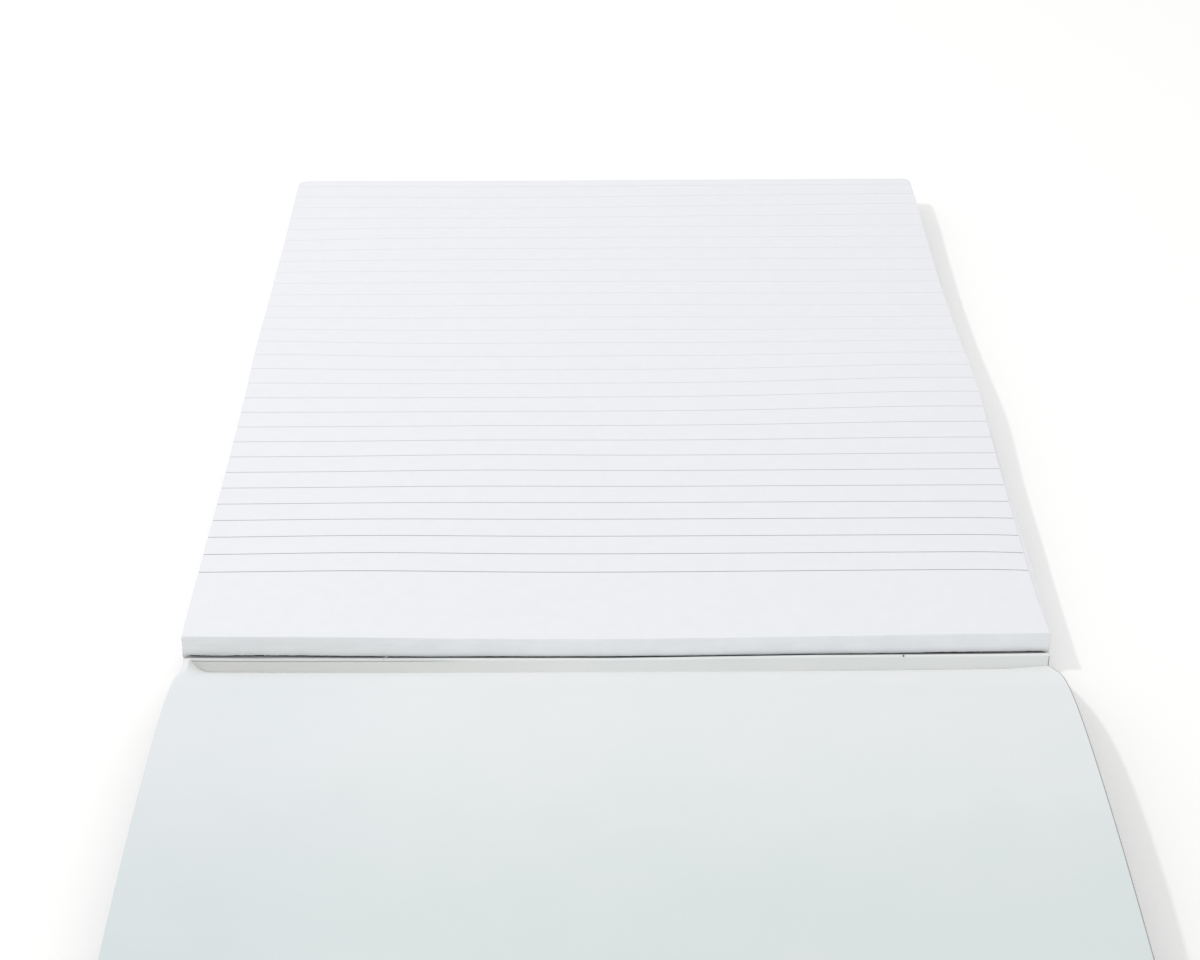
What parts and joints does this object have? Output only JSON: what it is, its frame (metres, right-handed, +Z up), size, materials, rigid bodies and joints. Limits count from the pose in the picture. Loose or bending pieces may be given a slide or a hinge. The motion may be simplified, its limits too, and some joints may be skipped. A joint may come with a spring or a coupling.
{
  "type": "writing pad",
  "caption": "Ruled white writing pad glued along its head, with a card cover that folds over the head and lies open in a low arch.",
  "frame": {"origin": "on the table, at the middle of the pad's glued head, under the front edge of the sheets", "axes": "+Y along the pad from its head to its foot, +X across the sheets to the reader's right when the head is nearest, +Z up out of the written face; the open cover lies towards -Y"},
  "size_m": [0.216, 0.5569, 0.0142],
  "materials": {
    "sheets": "uncoated white writing paper",
    "greyboard": "grey chipboard",
    "padding_glue": "dried white padding glue",
    "cover_card": "smooth pale card"
  },
  "bodies": {
    "pad": {"page_block": "sheets", "backing_board": "greyboard", "head_glue": "padding_glue", "cover_spine": "cover_card"},
    "cover": {"front_cover": "cover_card"}
  },
  "joints": [
    {"name": "cover_hinge", "type": "hinge", "parent": "pad", "child": "cover", "pos_m": [0, -0.00155, 0.00525], "axis": [-1, 0, 0], "range_deg": [0, 180], "deforming": ["front_cover"]}
  ]
}
